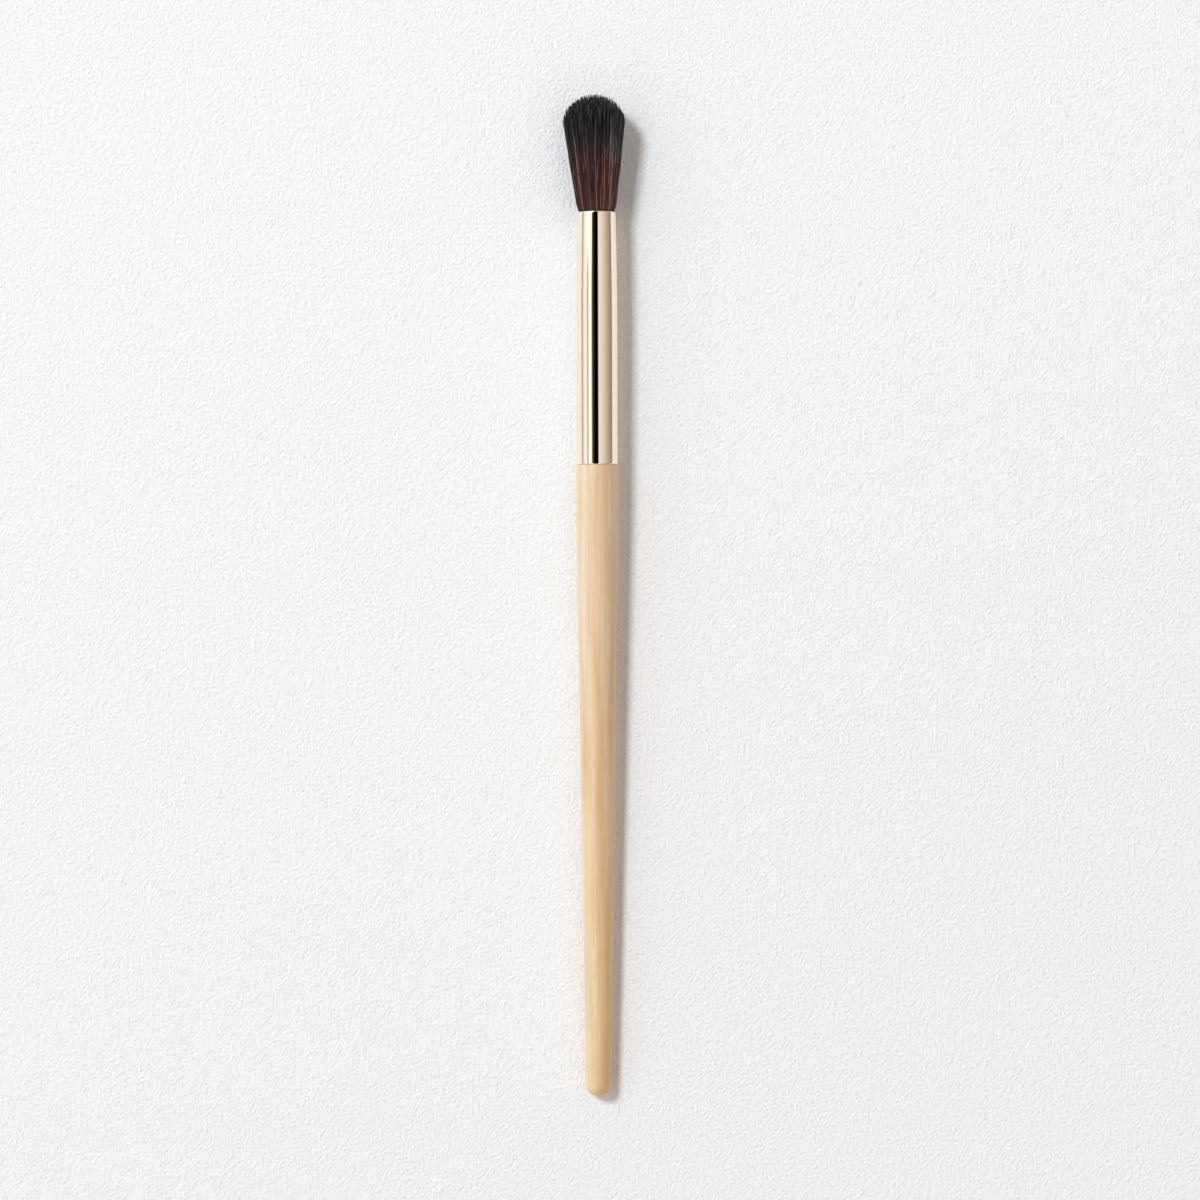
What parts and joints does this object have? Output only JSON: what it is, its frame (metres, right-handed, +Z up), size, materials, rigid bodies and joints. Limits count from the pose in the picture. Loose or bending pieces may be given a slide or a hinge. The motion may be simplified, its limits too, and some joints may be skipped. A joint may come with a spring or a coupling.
{
  "type": "eyeshadow brush",
  "caption": "Slim cosmetic brush with a round flared tuft and domed tip, a polished metal ferrule drawn in at the mouth, and a tapered wooden handle, for blending eyeshadow.",
  "frame": {"origin": "on the brush's axis, in the plane where the ferrule's rear edge seats on the handle's shoulder", "axes": "+Y along the brush's axis towards the tip of the tuft, +Z up from the surface it lies on, +X to the right with the tip pointing away"},
  "size_m": [0.0102, 0.1701, 0.0099],
  "materials": {
    "handle_wood": "satin",
    "adhesive": "satin",
    "ferrule_metal": "polished",
    "cast_resin": "gloss",
    "thread": "matte",
    "filaments": "satin"
  },
  "bodies": {
    "root": {"handle": "handle_wood", "tenon_glue": "adhesive", "ferrule": "ferrule_metal", "root_resin": "cast_resin", "binding_thread": "thread", "bristle_tuft": "filaments"}
  },
  "joints": []
}
